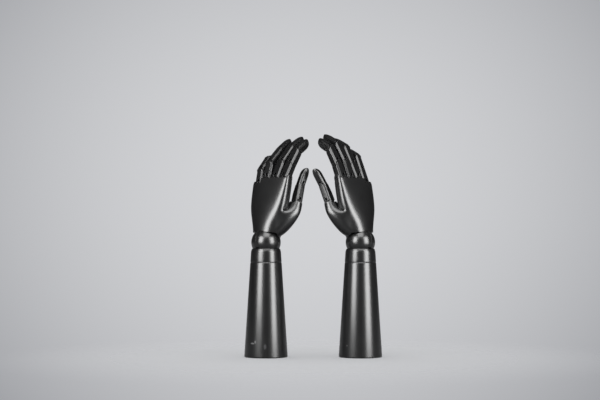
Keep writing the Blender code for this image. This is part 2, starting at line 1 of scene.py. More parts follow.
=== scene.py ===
# %% [markdown]
# # A pair of jointed wooden hands
# Two display hands in satin black lacquer, a left and a right, each on a turned forearm. The solid
# model already fixes every size, joint and pose. This lesson makes the finished surface: finer
# curves, soft edges, a lacquer that shows some grain and wear, and studio light to see it by.

# %% Load the solid model as a fixed frame
import json
import math

import bmesh
import bpy
from mathutils import Matrix, Vector

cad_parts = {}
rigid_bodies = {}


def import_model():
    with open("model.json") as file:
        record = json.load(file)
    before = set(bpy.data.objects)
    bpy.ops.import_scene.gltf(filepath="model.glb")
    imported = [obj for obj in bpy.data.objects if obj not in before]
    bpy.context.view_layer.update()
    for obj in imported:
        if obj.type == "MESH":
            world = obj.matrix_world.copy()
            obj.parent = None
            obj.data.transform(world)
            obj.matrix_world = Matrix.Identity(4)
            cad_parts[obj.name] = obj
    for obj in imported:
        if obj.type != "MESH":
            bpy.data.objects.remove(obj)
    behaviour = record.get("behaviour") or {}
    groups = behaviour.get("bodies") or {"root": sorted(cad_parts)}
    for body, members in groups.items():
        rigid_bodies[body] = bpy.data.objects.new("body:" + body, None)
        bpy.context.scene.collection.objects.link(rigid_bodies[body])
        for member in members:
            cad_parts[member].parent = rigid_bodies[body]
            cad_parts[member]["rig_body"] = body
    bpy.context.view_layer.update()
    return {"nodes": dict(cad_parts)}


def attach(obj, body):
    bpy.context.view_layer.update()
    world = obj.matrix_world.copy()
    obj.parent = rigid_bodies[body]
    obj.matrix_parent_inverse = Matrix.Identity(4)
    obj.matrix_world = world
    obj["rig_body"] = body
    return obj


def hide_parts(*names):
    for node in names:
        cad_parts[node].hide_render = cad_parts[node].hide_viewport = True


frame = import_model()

# %% [markdown]
# ## Shader maths as Python
# A node tree is a formula drawn with wires. Writing it as a formula is easier to read, so one small
# class wraps an output socket. Plus, minus and times on numbers add Math nodes. On vectors they add
# Vector Math nodes instead, because a Math node would keep only one number of the three.

# %% A socket that takes part in expressions
class Wire:
    def __init__(self, graph, socket):
        self.graph = graph
        self.socket = socket
        self.is_vector = socket.type in ("VECTOR", "RGBA")

    def combine(self, operation, first, second):
        vector = any(isinstance(value, Wire) and value.is_vector for value in (first, second))
        kind = "ShaderNodeVectorMath" if vector else "ShaderNodeMath"
        return self.graph.node(kind, {"operation": operation}, {0: first, 1: second})

    def __add__(self, other):
        return self.combine("ADD", self, other)

    def __radd__(self, other):
        return self.combine("ADD", other, self)

    def __sub__(self, other):
        return self.combine("SUBTRACT", self, other)

    def __rsub__(self, other):
        return self.combine("SUBTRACT", other, self)

    def __mul__(self, other):
        return self.combine("MULTIPLY", self, other)

    def __rmul__(self, other):
        return self.combine("MULTIPLY", other, self)


# %% [markdown]
# The sheet that the nodes are drawn on has one method for any node at all: first its settings, then
# its sockets, which take either a plain value or a wire. Five short helpers cover what this lesson
# asks for again and again: a colour blend, a measure of vectors, a noise, a soft step from 0 to 1,
# and the last shader of a material. A blend node has inputs of one name for numbers and for colours,
# so those are looked up by type.

# %% The sheet that holds the nodes
class Graph:
    def __init__(self, tree):
        self.tree = tree
        tree.nodes.clear()

    def fill(self, socket, value):
        if isinstance(value, Wire):
            self.tree.links.new(value.socket, socket)
        else:
            socket.default_value = value

    def node(self, kind, settings=None, sockets=None, output=None):
        made = self.tree.nodes.new(kind)
        for name, value in (settings or {}).items():
            setattr(made, name, value)
        for key, value in (sockets or {}).items():
            self.fill(made.inputs[key], value)
        shown = [socket for socket in made.outputs if socket.enabled]
        if not shown:
            return made
        return Wire(self, made.outputs[output] if output else shown[0])

    def blend(self, share, first, second):
        """From the first colour to the second as share goes from 0 to 1."""
        made = self.tree.nodes.new("ShaderNodeMix")
        made.data_type = "RGBA"
        colours = {socket.name: socket for socket in made.inputs if socket.type == "RGBA"}
        self.fill(made.inputs["Factor"], share)
        self.fill(colours["A"], first)
        self.fill(colours["B"], second)
        return Wire(self, next(socket for socket in made.outputs if socket.type == "RGBA"))

    def measure(self, operation, first, second=(0.0, 0.0, 0.0)):
        """One number from vectors, such as a length, a distance or a dot product."""
        sockets = {0: first, 1: second}
        return self.node("ShaderNodeVectorMath", {"operation": operation}, sockets, "Value")

    def noise(self, vector, scale, detail):
        sockets = {"Vector": vector, "Scale": scale, "Detail": detail}
        return self.node("ShaderNodeTexNoise", None, sockets, "Fac")

    def step(self, value, low, high):
        """A soft step from 0 at low to 1 at high."""
        settings = {"interpolation_type": "SMOOTHSTEP"}
        sockets = {"Value": value, "From Min": low, "From Max": high}
        return self.node("ShaderNodeMapRange", settings, sockets, "Result")

    def surface(self, kind, sockets):
        """The last shader, which goes to the material's output."""
        shader = self.node(kind, None, sockets)
        self.node("ShaderNodeOutputMaterial", None, {"Surface": shader})


# %% A new material with an empty sheet
def new_material(name):
    material = bpy.data.materials.new(name)
    material.use_nodes = True
    return material, Graph(material.node_tree)


print("shader helpers ready")

# %% [markdown]
# ## Satin black lacquer
# The wood is sprayed black and rubbed to a satin sheen. The grain still shows as long, faint
# hollows, the spray leaves a fine orange peel, and corners that are handled lose some colour. All
# of it is procedural, in each piece's own coordinates, whose Z runs along the grain. Those are kept
# on the mesh as a named attribute, so the grain stays with the piece wherever it is posed. The Bevel
# node looks round the near surface and returns a softened normal, which rounds every edge. Where it
# differs from the true normal there is an edge, so the same node also says where wear belongs.

# %% Colours and sizes of the lacquer
OWN_PLACE = "own_place"
EDGE_ROUNDING = 0.0006
GRAIN_STRETCH = (1.0, 1.0, 0.045)
PORE_FINENESS = 1500.0
CLOUD_FINENESS = 55.0
PEEL_FINENESS = 1300.0
PATCH_FINENESS = 420.0
RELIEF_HEIGHT = 0.00008
LACQUER_DEEP = (0.0050, 0.0051, 0.0055, 1.0)
LACQUER_BLOOM = (0.0100, 0.0100, 0.0106, 1.0)
LACQUER_WORN = (0.0420, 0.0410, 0.0400, 1.0)
SCUFF_COLOUR = (0.1900, 0.1900, 0.1950, 1.0)
EDGE_WEAR = (0.02, 0.20)
PATCH_WEAR = (0.46, 0.68)
SCUFF_RIM = (1.1, 1.7)


# %% A piece's own coordinates
def own_coordinates(graph, stretch):
    """The place on the piece as it is, and again drawn out for a grain or for lines."""
    spot = graph.node("ShaderNodeAttribute", {"attribute_name": OWN_PLACE}, None, "Vector")
    return spot, graph.node("ShaderNodeMapping", None, {"Vector": spot, "Scale": stretch})


# %% A mark in the lacquer
def scuff_mask(graph, spot, ragged, centre, half_length, half_height, strength):
    """A ragged oval mark round a point of the surface, from 0 outside it to strength inside."""
    size = (half_length, half_length, half_height)
    away = graph.node("ShaderNodeVectorMath", {"operation": "DIVIDE"}, {0: spot - centre, 1: size})
    distance = graph.measure("LENGTH", away)
    return strength * (1 - graph.step(distance + ragged, *SCUFF_RIM))


# %% The lacquer
def black_lacquer(name, scuffs=()):
    material, graph = new_material(name)
    spot, along = own_coordinates(graph, GRAIN_STRETCH)
    pores = graph.noise(along, PORE_FINENESS, 4.0)
    cloud = graph.noise(spot, CLOUD_FINENESS, 4.0)
    peel = graph.noise(spot, PEEL_FINENESS, 2.0)
    patch = graph.noise(spot, PATCH_FINENESS, 5.0)

    soft = graph.node("ShaderNodeBevel", {"samples": 6}, {"Radius": EDGE_ROUNDING})
    true = graph.node("ShaderNodeNewGeometry", output="Normal")
    facing = graph.measure("DOT_PRODUCT", soft, true)
    wear = graph.step(1 - facing, *EDGE_WEAR) * graph.step(patch, *PATCH_WEAR)

    colour = graph.blend(cloud, LACQUER_DEEP, LACQUER_BLOOM)
    colour = graph.blend(wear * 0.7, colour, LACQUER_WORN)
    rough = 0.25 + 0.05 * cloud + 0.03 * pores + 0.15 * wear
    height = 0.6 * pores + 0.4 * peel
    for scuff in scuffs:
        mark = scuff_mask(graph, spot, patch, *scuff)
        colour = graph.blend(mark, colour, SCUFF_COLOUR)
        rough = rough + 0.25 * mark
        height = height - 0.8 * mark
    relief = {"Strength": 0.025, "Distance": RELIEF_HEIGHT, "Height": height, "Normal": soft}
    normal = graph.node("ShaderNodeBump", None, relief)
    finish = {"Base Color": colour, "Roughness": rough, "Normal": normal}
    finish.update({"IOR": 1.5, "Coat Weight": 0.6, "Coat Roughness": 0.26})
    graph.surface("ShaderNodeBsdfPrincipled", finish)
    return material


plain_lacquer = black_lacquer("satin_black_lacquer")
print(plain_lacquer.name, len(plain_lacquer.node_tree.nodes), "nodes")

# %% [markdown]
# Each forearm has met an edge or two in its life. A mark is an oval in the forearm's own
# coordinates, roughened at its rim by the same noise that breaks up the worn corners.

# %% Lacquer with a few knocks, for the forearms
# middle of the mark, half its length and half its height, all in metres, and its strength
KNOCKS = {
    "left": [
        ((-0.0221, -0.0277, 0.0247), 0.0042, 0.0014, 1.0),
        ((-0.0175, -0.0306, 0.0272), 0.0018, 0.0024, 0.8),
        ((-0.0009, -0.0357, 0.0195), 0.0024, 0.0048, 0.35),
    ],
    "right": [((-0.0237, -0.0266, 0.0209), 0.0013, 0.0013, 0.7)],
}
forearm_lacquer = {}
for side, knocks in KNOCKS.items():
    forearm_lacquer[side] = black_lacquer(f"{side}_forearm_lacquer", knocks)
    print(side, "forearm:", len(knocks), "knocks")

# %% [markdown]
# ## Pin steel
# The hinge pins are cut from drawn wire and blackened, so they hardly show. Drawing leaves hair-thin
# lines along the wire, so the noise is stretched along X, the axis that every pin lies on, and a
# little dirt dulls the steel in patches.

# %% The steel
STEEL_CLEAN = (0.110, 0.110, 0.114, 1.0)
STEEL_DULL = (0.045, 0.044, 0.043, 1.0)
WIRE_STRETCH = (0.05, 1.0, 1.0)
WIRE_FINENESS = 5000.0
DIRT_FINENESS = 700.0
DIRT_PATCH = (0.42, 0.66)
LINE_DEPTH = 0.00005


def drawn_steel(name):
    material, graph = new_material(name)
    spot, along = own_coordinates(graph, WIRE_STRETCH)
    lines = graph.noise(along, WIRE_FINENESS, 3.0)
    dirt = graph.step(graph.noise(spot, DIRT_FINENESS, 4.0), *DIRT_PATCH)
    colour = graph.blend(dirt, STEEL_CLEAN, STEEL_DULL)
    relief = {"Strength": 0.15, "Distance": LINE_DEPTH, "Height": lines}
    normal = graph.node("ShaderNodeBump", None, relief)
    finish = {"Base Color": colour, "Metallic": 1.0, "Normal": normal}
    finish["Roughness"] = 0.26 + 0.12 * lines + 0.25 * dirt
    graph.surface("ShaderNodeBsdfPrincipled", finish)
    return material


steel = drawn_steel("drawn_pin_steel")
print(steel.name, len(steel.node_tree.nodes), "nodes")

# %% [markdown]
# ## Ways to make a shape
# Nearly every piece of these hands is made with one of three moves: a skin over a row of rings, a
# turned profile, or an outline drawn out sideways. Cuts are Booleans, applied at once, so that a
# later cut sees the result of the ones before it.

# %% A new object in the scene
def add_object(name, data):
    obj = bpy.data.objects.new(name, data)
    bpy.context.scene.collection.objects.link(obj)
    return obj


# %% A skin over rings
def mesh_object(name, points, faces):
    mesh = bpy.data.meshes.new(name)
    mesh.from_pydata(points, [], faces)
    shell = bmesh.new()
    shell.from_mesh(mesh)
    bmesh.ops.recalc_face_normals(shell, faces=shell.faces)
    shell.to_mesh(mesh)
    shell.free()
    return add_object(name, mesh)


def loft(name, rings):
    """A closed skin over rings that have the same number of points, with flat ends."""
    count = len(rings[0])
    points = [tuple(point) for ring in rings for point in ring]
    faces = [tuple(range(count)), tuple(range(len(points) - count, len(points)))]
    for ring in range(len(rings) - 1):
        low = ring * count
        for side in range(count):
            after = (side + 1) % count
            faces.append((low + side, low + after, low + count + after, low + count + side))
    return mesh_object(name, points, faces)


# %% Lathes and outlines
def turned(name, profile, sides):
    """A lathe of (radius, height) points that starts and ends on the axis."""
    points = [(0.0, 0.0, profile[0][1])]
    for radius, height in profile[1:-1]:
        turns = [math.tau * side / sides for side in range(sides)]
        points += [(radius * math.cos(turn), radius * math.sin(turn), height) for turn in turns]
    points.append((0.0, 0.0, profile[-1][1]))
    last = len(points) - 1
    faces = []
    for side in range(sides):
        after = (side + 1) % sides
        faces.append((0, 1 + side, 1 + after))
        faces.append((last, last - sides + side, last - sides + after))
        for ring in range(len(profile) - 3):
            low = 1 + ring * sides
            faces.append((low + side, low + after, low + sides + after, low + sides + side))
    return mesh_object(name, points, faces)


def prism(name, outline, low, high):
    """An outline of (y, z) points drawn out along X from low to high."""
    return loft(name, [[(x, y, z) for y, z in outline] for x in (low, high)])


def block(name, low, high):
    corners = [(low[1], low[2]), (high[1], low[2]), (high[1], high[2]), (low[1], high[2])]
    return prism(name, corners, low[0], high[0])


# %% Circles in the side view, and rounded corners
def arc(height, radius, start, stop, steps, around=False):
    """Points on a circle; around gives a polygon that stays outside the circle."""
    if around:
        radius /= math.cos(math.radians(stop - start) / steps / 2)
    turns = [math.radians(start + (stop - start) * step / steps) for step in range(steps + 1)]
    return [(radius * math.cos(turn), height + radius * math.sin(turn)) for turn in turns]


def soften(profile, reach, steps=4):
    """Replace each inner corner of a profile by a short curve that starts up to reach before it."""
    points = [Vector(point) for point in profile]
    result = [tuple(points[0])]
    for before, corner, after in zip(points, points[1:], points[2:]):
        start = corner + (before - corner).normalized() * min(reach, (before - corner).length / 2)
        stop = corner + (after - corner).normalized() * min(reach, (after - corner).length / 2)
        for step in range(steps + 1):
            share = step / steps
            result.append(tuple(start.lerp(corner, share).lerp(corner.lerp(stop, share), share)))
    return result + [tuple(points[-1])]


# %% Cuts
def apply_modifiers(obj):
    bpy.context.view_layer.update()
    graph = bpy.context.evaluated_depsgraph_get()
    result = bpy.data.meshes.new_from_object(obj.evaluated_get(graph))
    obj.modifiers.clear()
    obj.data = result


def carve(target, cutter, operation="DIFFERENCE", folded=False):
    """Apply a Boolean and drop the cutter; folded also joins up a skin that passes through itself."""
    modifier = target.modifiers.new(operation.lower(), "BOOLEAN")
    modifier.operation = operation
    modifier.solver = "EXACT"
    modifier.use_self = folded
    modifier.object = cutter
    apply_modifiers(target)
    bpy.data.objects.remove(cutter)


# %% Places
def place(obj, matrix):
    obj.data.transform(matrix)
    return obj


def spin(degrees, axis):
    return Matrix.Rotation(math.radians(degrees), 4, axis)


def up(length):
    return Matrix.Translation((0.0, 0.0, length))


print("shape helpers ready")

# %% [markdown]
# ## The turned forearm
# The forearm is one piece of wood from a lathe: a cone with a fine groove below the rim, a bevelled
# rim, and a cup in the top for the wrist ball. It could be a cone with cuts in it, but one profile
# spun round the axis gives all of these at once, as the lathe does. A lathe never leaves a knife
# edge, so each outer corner of the profile becomes a small curve first.

# %% Sizes of the forearm
CLEARANCE = 0.0003
FOOT_RADIUS = 0.0370
FOREARM_HEIGHT = 0.1840
FOOT_CHAMFER = 0.0014
RIM_CHAMFER_WIDTH = 0.0013
RIM_CHAMFER_HEIGHT = 0.0048
GROOVE_BELOW_RIM = 0.0230
GROOVE_DEPTH = 0.0007
GROOVE_HALF_WIDTH = 0.0009
BALL_RADIUS = 0.0250
BALL_ABOVE_RIM = 0.0110
BALL_HEIGHT = FOREARM_HEIGHT + BALL_ABOVE_RIM
STEM_RADIUS = 0.0070
STEM_LENGTH = 0.0400
FOREARM_TOP_RADIUS = 0.0251
LATHE_SIDES = 128
LATHE_SOFTNESS = 0.0004
CUP_STEPS = 24
print("foot", 2 * FOOT_RADIUS, "metres across, rim", 2 * FOREARM_TOP_RADIUS)


# %% Forearm
def make_forearm():
    def cone(height):
        return FOOT_RADIUS + (FOREARM_TOP_RADIUS - FOOT_RADIUS) * height / FOREARM_HEIGHT

    groove = FOREARM_HEIGHT - GROOVE_BELOW_RIM
    shoulder = FOREARM_HEIGHT - RIM_CHAMFER_HEIGHT
    cup = BALL_RADIUS + CLEARANCE
    bore = STEM_RADIUS + CLEARANCE
    rim = math.degrees(math.asin((FOREARM_HEIGHT - BALL_HEIGHT) / cup))
    mouth = -math.degrees(math.acos(bore / cup))
    floor = BALL_HEIGHT - BALL_RADIUS - STEM_LENGTH - CLEARANCE
    inside = arc(BALL_HEIGHT, cup, rim, mouth, CUP_STEPS) + [(bore, floor), (0.0, floor)]
    outside = [
        (0.0, 0.0),
        (FOOT_RADIUS - FOOT_CHAMFER, 0.0),
        (cone(FOOT_CHAMFER), FOOT_CHAMFER),
        (cone(groove - GROOVE_HALF_WIDTH), groove - GROOVE_HALF_WIDTH),
        (cone(groove) - GROOVE_DEPTH, groove),
        (cone(groove + GROOVE_HALF_WIDTH), groove + GROOVE_HALF_WIDTH),
        (cone(shoulder), shoulder),
        (FOREARM_TOP_RADIUS - RIM_CHAMFER_WIDTH, FOREARM_HEIGHT),
        inside[0],
    ]
    return turned("forearm", soften(outside, LATHE_SOFTNESS) + inside[1:], LATHE_SIDES)


sources = {"forearm": make_forearm()}
print("forearm", len(sources["forearm"].data.polygons), "faces")

# %% [markdown]
# ## The wrist ball
# The ball turns on a stem in the forearm and is sawn through the middle. A tongue on the palm fills
# the saw cut and swings on a cross pin, so the ball looks whole apart from two fine seams. The pin
# stops short of the surface and leaves a small round hollow on each side. A sphere joined to a
# cylinder would do, but one spun profile has no join to clean up. The cut is a real cut.

# %% Ball
WRIST_TONGUE_THICKNESS = 0.0060
WRIST_TONGUE_STEM = 0.0100
WRIST_TONGUE_DROP = 30.0
WRIST_TONGUE_SINK = 0.0002
WRIST_HUB_RADIUS = 0.0102
WRIST_SLOT_LIMITS = (-77.0, 247.0)
WRIST_PIN_RADIUS = 0.0030
WRIST_PIN_RECESS = 0.0012
BALL_STEPS = 48
ROUND_STEPS = 24
PIN_SIDES = 24
FAR = 4 * BALL_RADIUS


def pin_circle(radius):
    return arc(0.0, radius, 0.0, 360.0 - 360.0 / PIN_SIDES, PIN_SIDES - 1)


def rod(name, radius, low, high):
    """A straight round cutter along X."""
    return prism(name, pin_circle(radius), low, high)


def make_ball():
    low = -math.degrees(math.acos(STEM_RADIUS / BALL_RADIUS))
    foot = -BALL_RADIUS - STEM_LENGTH
    profile = [(0.0, BALL_RADIUS)] + arc(0.0, BALL_RADIUS, 90.0, low, BALL_STEPS)[1:]
    ball = turned("wrist_ball", profile + [(STEM_RADIUS, foot), (0.0, foot)], LATHE_SIDES)
    start, stop = WRIST_SLOT_LIMITS
    outline = arc(0.0, WRIST_HUB_RADIUS + CLEARANCE, stop, start + 360.0, ROUND_STEPS, around=True)
    outline += arc(0.0, 2 * BALL_RADIUS, start, stop, BALL_STEPS)
    half = WRIST_TONGUE_THICKNESS / 2 + CLEARANCE
    carve(ball, prism("slot", outline, -half, half))
    carve(ball, rod("hole", WRIST_PIN_RADIUS + CLEARANCE, -FAR, FAR))
    return ball


sources["wrist_ball"] = make_ball()
print("wrist ball", len(sources["wrist_ball"].data.polygons), "faces")

# %% [markdown]
# ## Finger pieces
# A finger is three square bars with chamfered edges. The inner bar of a hinge ends in a hollow with a
# tongue standing in it. The outer bar has a round base that turns in the hollow and a narrow slot
# for the tongue. A box with a Bevel modifier is the usual way to such a bar, but it can't also taper
# its chamfers to a tip. So each bar is a skin over rings that runs past both pins, and the hinge ends
# are then cut from it, as they are in the workshop.

# %% Sizes of the fingers, in metres and degrees
FINGER_GAP = 0.0013
TAPER = 0.94
FINGERS = {
    "index": {"width": 0.0166, "thickness": 0.0160, "lengths": (0.0280, 0.0295, 0.0300), "lean": 4.0},
    "middle": {"width": 0.0170, "thickness": 0.0160, "lengths": (0.0320, 0.0360, 0.0340), "lean": 1.5},
    "ring": {"width": 0.0164, "thickness": 0.0160, "lengths": (0.0290, 0.0355, 0.0335), "lean": -2.0},
    "little": {"width": 0.0146, "thickness": 0.0142, "lengths": (0.0255, 0.0300, 0.0270), "lean": -5.5},
}
EDGE_CHAMFER = 0.0026
EDGE_SOFTNESS = 0.0007
TIP_RINGS = 18
TIP_START = 0.5
TIP_LAST_GAP = 0.6
TIP_FULLNESS = 2.4
TIP_BACK_DROP = 0.28
TIP_PAD_RISE = 1.68
TIP_SIDE_DRAW = 0.85
TIP_CHAMFER_FADE = 0.70
LIP = 0.0010
TONGUE_THICKNESS = 0.0030
TONGUE_BELOW_BACK = 0.0005
PIN_RADIUS = 0.0014
PIN_RECESS = 0.0006
FINGER_OPENINGS = (36.0, 0.0)
THUMB_OPENINGS = (26.0, 15.0)
SOCKET_RELIEF = 1.02
PAD_SWELL_SHARE = 0.45
print("finger lengths", {finger: round(sum(sizes["lengths"]), 4) for finger, sizes in FINGERS.items()})


# %% Bars with chamfered edges
def chamfered(half_width, back, front, chamfer, height):
    """A rectangle with its corners cut off and every edge softened, at one level of a bar."""
    wide = half_width - chamfer
    right = [(half_width, back + chamfer), (half_width, front - chamfer), (wide, front)]
    left = [(-wide, front), (-half_width, front - chamfer), (-half_width, back + chamfer)]
    corners = right + left + [(-wide, back), (wide, back)]
    outline = soften([corners[-1], *corners, corners[0]], EDGE_SOFTNESS)[1:-1]
    return [(x, y, height) for x, y in outline]


def straight_bar(name, width, half, length, swell):
    """A tapering bar that runs past both of its pins; swell fills out its pad."""
    levels = [(-half / length, swell), (1.0 + half / length, 0.0)]
    if swell:
        levels.insert(1, (PAD_SWELL_SHARE, swell))
    rings = []
    for share, fill in levels:
        size = 1.0 + (TAPER - 1.0) * share
        front = half * size + fill
        rings.append(chamfered(width / 2 * size, -half * size, front, EDGE_CHAMFER, length * share))
    return loft(name, rings)


def tip_bar(name, width, half, length):
    """A bar with a straight back and a pad that curves up to a round tip."""
    rings = [chamfered(width / 2, -half, half, EDGE_CHAMFER, -half)]
    for ring in range(TIP_RINGS + 1):
        share = math.sin(math.pi / 2 * ring / (TIP_RINGS + TIP_LAST_GAP))
        drawn = 1.0 - math.sqrt(1.0 - share**TIP_FULLNESS)
        along = TIP_START + (1.0 - TIP_START) * share
        back = -half * (1.0 - TIP_BACK_DROP * drawn)
        front = half * (1.0 - TIP_PAD_RISE * drawn)
        side = width / 2 * TAPER**along * (1.0 - TIP_SIDE_DRAW * drawn)
        chamfer = EDGE_CHAMFER * (1.0 - TIP_CHAMFER_FADE * drawn)
        rings.append(chamfered(side, back, front, chamfer, length * along))
    return loft(name, rings)


# %% Hinge ends
def barrel_radius(half_thickness):
    return half_thickness - LIP - CLEARANCE


def cradle_outline(radius, palm_side, back, reach):
    """Side view of all that a hinge leaves of the inner piece, whose far pin is at (0, 0)."""
    hollow = arc(0.0, radius + CLEARANCE, 180.0 + back, 360.0 - palm_side, ROUND_STEPS, around=True)
    back_edge = (-reach, -reach * math.tan(math.radians(back)) - CLEARANCE / 2)
    back_foot = (-(radius + CLEARANCE) * SOCKET_RELIEF, hollow[0][1] - CLEARANCE / 2)
    palm_edge = (reach, -reach * math.tan(math.radians(palm_side)))
    return [back_edge, back_foot] + hollow[1:] + [palm_edge, (reach, -FAR), (-reach, -FAR)]


def knuckle_outline(radius, palm_side, back, reach):
    """Side view of what a hinge cuts away below the outer piece, whose pin is at (0, 0)."""
    round_end = arc(0.0, radius, 180.0 - back, 360.0 + palm_side, ROUND_STEPS)
    back_edge = (-reach, reach * math.tan(math.radians(back)) + CLEARANCE / 2)
    back_foot = (-radius, round_end[0][1] + CLEARANCE / 2)
    palm_edge = (reach, reach * math.tan(math.radians(palm_side)))
    return [back_edge, back_foot] + round_end[1:] + [palm_edge, (reach, -FAR), (-reach, -FAR)]


def tongue(name, half, radius):
    """A round-ended tab that stands up from the inner piece into the outer one's slot."""
    tab = half - TONGUE_BELOW_BACK
    root = -radius - 2 * LIP
    outline = arc(0.0, tab, 0.0, 180.0, ROUND_STEPS) + [(-tab, root), (tab, root)]
    return prism(name, outline, -TONGUE_THICKNESS / 2, TONGUE_THICKNESS / 2)


def slot(name, half, reach):
    """The cutter in the outer piece that clears the tongue."""
    wide = TONGUE_THICKNESS / 2 + CLEARANCE
    return block(name, (-wide, -reach, -FAR), (wide, reach, half - TONGUE_BELOW_BACK + CLEARANCE))


# %% One finger piece, with its own pin at its origin and the next pin at its far end
def segment(name, width, half, length, openings, lean=0.0, is_tip=False, swell=0.0):
    palm_side, back = openings
    reach = 2 * half
    hole = PIN_RADIUS + CLEARANCE
    if is_tip:
        piece = tip_bar(name, width, half, length)
    else:
        piece = straight_bar(name, width, half, length, swell)
        next_half = half * TAPER
        next_radius = barrel_radius(next_half)
        far_end = up(length)
        cradle = prism("cradle", cradle_outline(next_radius, palm_side, back, reach), -FAR, FAR)
        carve(piece, place(cradle, far_end), "INTERSECT")
        carve(piece, place(tongue("tongue", next_half, next_radius), far_end), "UNION")
        carve(piece, place(rod("hole", hole, -FAR, FAR), far_end))
    place(piece, spin(lean, "Y"))
    base_opening = 0.0 if swell else palm_side
    outline = knuckle_outline(barrel_radius(half), base_opening, back, reach)
    carve(piece, prism("round", outline, -FAR, FAR))
    carve(piece, slot("slot", half, reach))
    carve(piece, rod("hole", hole, -FAR, FAR))
    return piece


# %% All the finger pieces of one hand
def own_lean(finger):
    """The lean that is in the lower bar; the little finger's is in its knuckle instead."""
    return 0.0 if finger == "little" else FINGERS[finger]["lean"]


for finger, sizes in FINGERS.items():
    for step, part in enumerate(("lower", "mid", "tip")):
        width = sizes["width"] * TAPER**step
        half = sizes["thickness"] / 2 * TAPER**step
        lean = own_lean(finger) if part == "lower" else 0.0
        piece = segment(part, width, half, sizes["lengths"][step], FINGER_OPENINGS, lean, part == "tip")
        sources[f"{finger}_{part}"] = piece
print("finger pieces", sum(len(source.data.polygons) for source in sources.values()), "faces so far")

# %% [markdown]
# ## The thumb
# The thumb is made like a finger with two bars. It stands on a mound at the side of the palm, with
# its pad turned towards the fingers, and its hinges open more to the back than those of a finger. So
# the same helper makes it, with other sizes and a swell for the ball of the thumb.

# %% Thumb pieces
THUMB_BASE = (0.0415, 0.0210, 0.0740)
THUMB_LEAN = 11.0
THUMB_TURN = 75.0
THUMB_WIDTH = 0.0142
THUMB_THICKNESS = 0.0138
THUMB_LENGTHS = (0.0320, 0.0300)
THUMB_PAD_SWELL = 0.0040

for step, part in enumerate(("lower", "tip")):
    width = THUMB_WIDTH * TAPER**step
    half = THUMB_THICKNESS / 2 * TAPER**step
    is_tip = part == "tip"
    swell = 0.0 if is_tip else THUMB_PAD_SWELL
    piece = segment(part, width, half, THUMB_LENGTHS[step], THUMB_OPENINGS, is_tip=is_tip, swell=swell)
    sources[f"thumb_{part}"] = piece
print("thumb pieces", [len(sources[f"thumb_{part}"].data.polygons) for part in ("lower", "tip")])

# %% [markdown]
# ## The palm
# The palm is the one carved form: flat at the knuckles, deep in the middle, round at the wrist, with
# the thumb's mound growing out of one side. A coarse cage of rings with a subdivision modifier gives
# such a form with few points to place. The mound is drawn out of the thumb side, ring by ring.

# %% Sizes of the palm, from the middle of the wrist ball
KNUCKLE_HEIGHT = 0.1100
LITTLE_KNUCKLE_DROP = 0.0086
PALM_SIDE_MARGIN = 0.0042
PALM_KNUCKLE_MARGIN = 0.0009
PALM_WRIST_HALF_WIDTH = 0.0230
PALM_WAIST_SHARE = 0.40
PALM_WRIST_THICKNESS = 0.0400
PALM_LOWER_THICKNESS = 0.0345
PALM_MIDDLE_THICKNESS = 0.0285
PALM_LOW_EDGE = 0.0150
PALM_HEEL_DIRECTION = 50.0
PALM_HEEL_START = 0.0105
PALM_HEEL_SLOPE = 37.0
PALM_SMOOTHING = 4
MOUND_PAD_SWELL = 0.0080
THUMB_NECK = (-0.0120, 1.60)
THUMB_HEAD = (0.0190, 1.32)
THUMB_CUT_REACH = 1.25
THUMB_CUT_HALF_WIDTH = 0.75
MOUND_REACH = (0.10, 0.70, 1.02)


# %% Where the knuckles and the thumb are
def finger_places():
    """Each finger's middle along X, from the index to the little finger."""
    edge = (sum(sizes["width"] for sizes in FINGERS.values()) + FINGER_GAP * (len(FINGERS) - 1)) / 2
    places = {}
    for finger, sizes in FINGERS.items():
        places[finger] = edge - sizes["width"] / 2
        edge -= sizes["width"] + FINGER_GAP
    return places


def knuckle_frame(finger):
    """The frame of a finger's knuckle pin; the little finger's is lower and leans outwards."""
    across = finger_places()[finger]
    if finger != "little":
        return Matrix.Translation((across, 0.0, KNUCKLE_HEIGHT))
    lower = Matrix.Translation((across, 0.0, KNUCKLE_HEIGHT - LITTLE_KNUCKLE_DROP))
    return lower @ spin(FINGERS[finger]["lean"], "Y")


def thumb_frame():
    return Matrix.Translation(THUMB_BASE) @ spin(-THUMB_LEAN, "X") @ spin(THUMB_TURN, "Z")


print("knuckles along X", {finger: round(across, 4) for finger, across in finger_places().items()})

# %% Rings of the cage
PALM_HALF_WIDTH = finger_places()["index"] + FINGERS["index"]["width"] / 2 + PALM_SIDE_MARGIN


def palm_ring(height, little_side, thumb_side, thickness, squareness):
    """Eight cage points round one level; squareness is how far the flats reach to the corners."""
    half = thickness / 2
    corner = squareness * half
    thumb_flat, little_flat = squareness * thumb_side, -squareness * little_side
    points = [(thumb_side, -corner), (thumb_side, corner), (thumb_flat, half), (little_flat, half)]
    points += [(-little_side, corner), (-little_side, -corner), (little_flat, -half), (thumb_flat, -half)]
    return [Vector((x, y, height)) for x, y in points]


